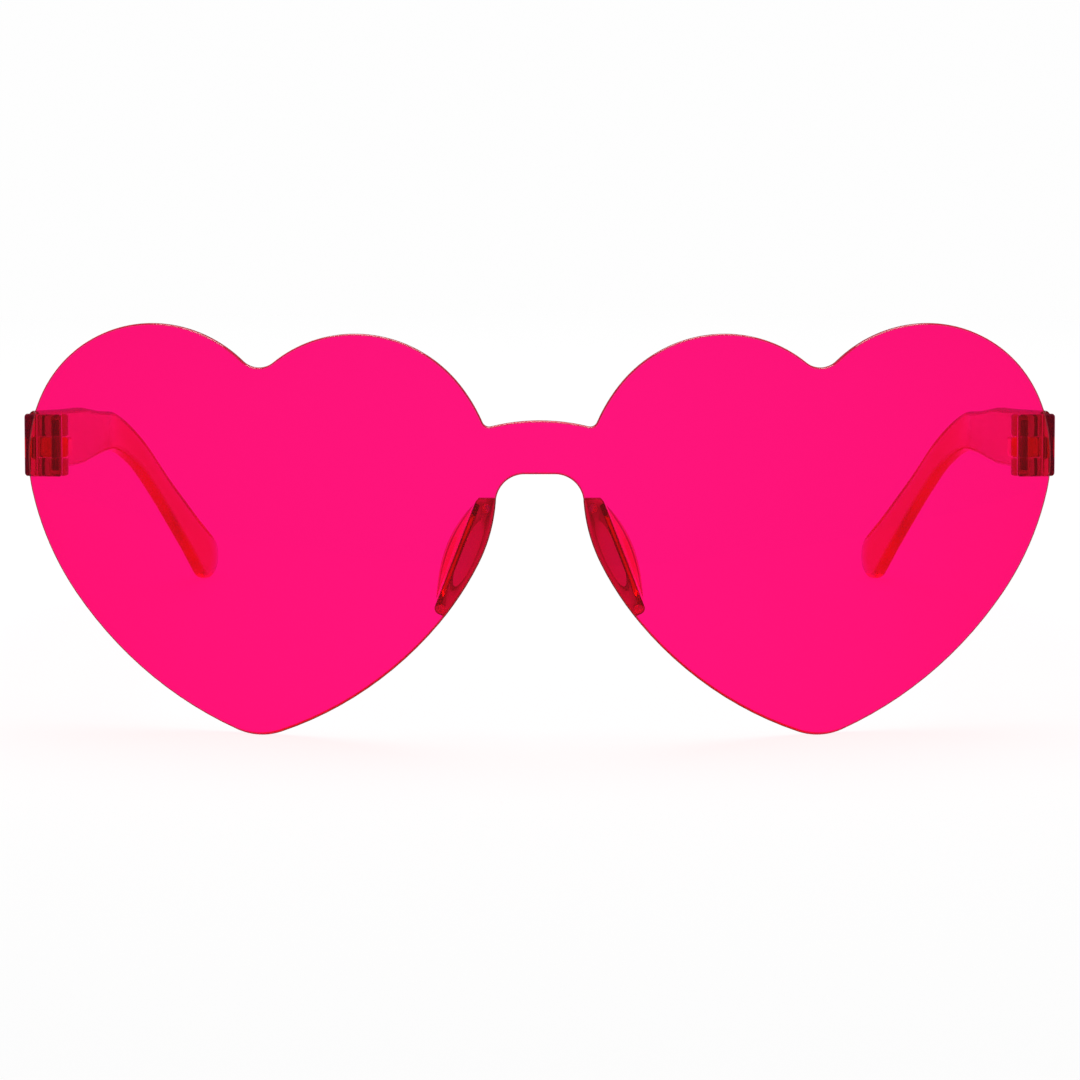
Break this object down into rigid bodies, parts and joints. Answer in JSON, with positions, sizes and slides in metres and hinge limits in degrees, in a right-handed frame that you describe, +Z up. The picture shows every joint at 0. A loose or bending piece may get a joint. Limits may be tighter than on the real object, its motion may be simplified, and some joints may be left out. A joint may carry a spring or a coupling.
{
  "type": "sunglasses",
  "caption": "Rimless heart shaped sunglasses: a tinted one-piece shield lens cut as twin hearts with nose pads, hinge blocks and folding temples.",
  "frame": {"origin": "on the table under the middle of the glasses, which stand open on both heart tips and both ear tips", "axes": "+X to the wearer's left, +Y from the lens back along the temples, +Z up"},
  "size_m": [0.1486, 0.1626, 0.0574],
  "materials": {
    "tinted_lens": "polished transparent magenta-pink polycarbonate",
    "tinted_pad": "polished transparent crimson-pink polycarbonate",
    "tinted_block": "polished transparent crimson-pink polycarbonate",
    "tinted_temple": "polished transparent magenta-pink polycarbonate",
    "pin_steel": "plain steel"
  },
  "bodies": {
    "front": {"front_lens": "tinted_lens", "left_nose_pad": "tinted_pad", "right_nose_pad": "tinted_pad", "left_end_piece": "tinted_block", "right_end_piece": "tinted_block", "left_hinge_pin": "pin_steel", "right_hinge_pin": "pin_steel"},
    "left_arm": {"left_temple": "tinted_temple"},
    "right_arm": {"right_temple": "tinted_temple"}
  },
  "joints": [
    {"name": "left_temple_fold", "type": "hinge", "parent": "front", "child": "left_arm", "pos_m": [0.06973, -0.04988, 0.0381], "axis": [0, 0.1069, 0.9943], "range_deg": [0, 86]},
    {"name": "right_temple_fold", "type": "hinge", "parent": "front", "child": "right_arm", "pos_m": [-0.06973, -0.04988, 0.0381], "axis": [0, -0.1069, -0.9943], "range_deg": [0, 80]}
  ]
}
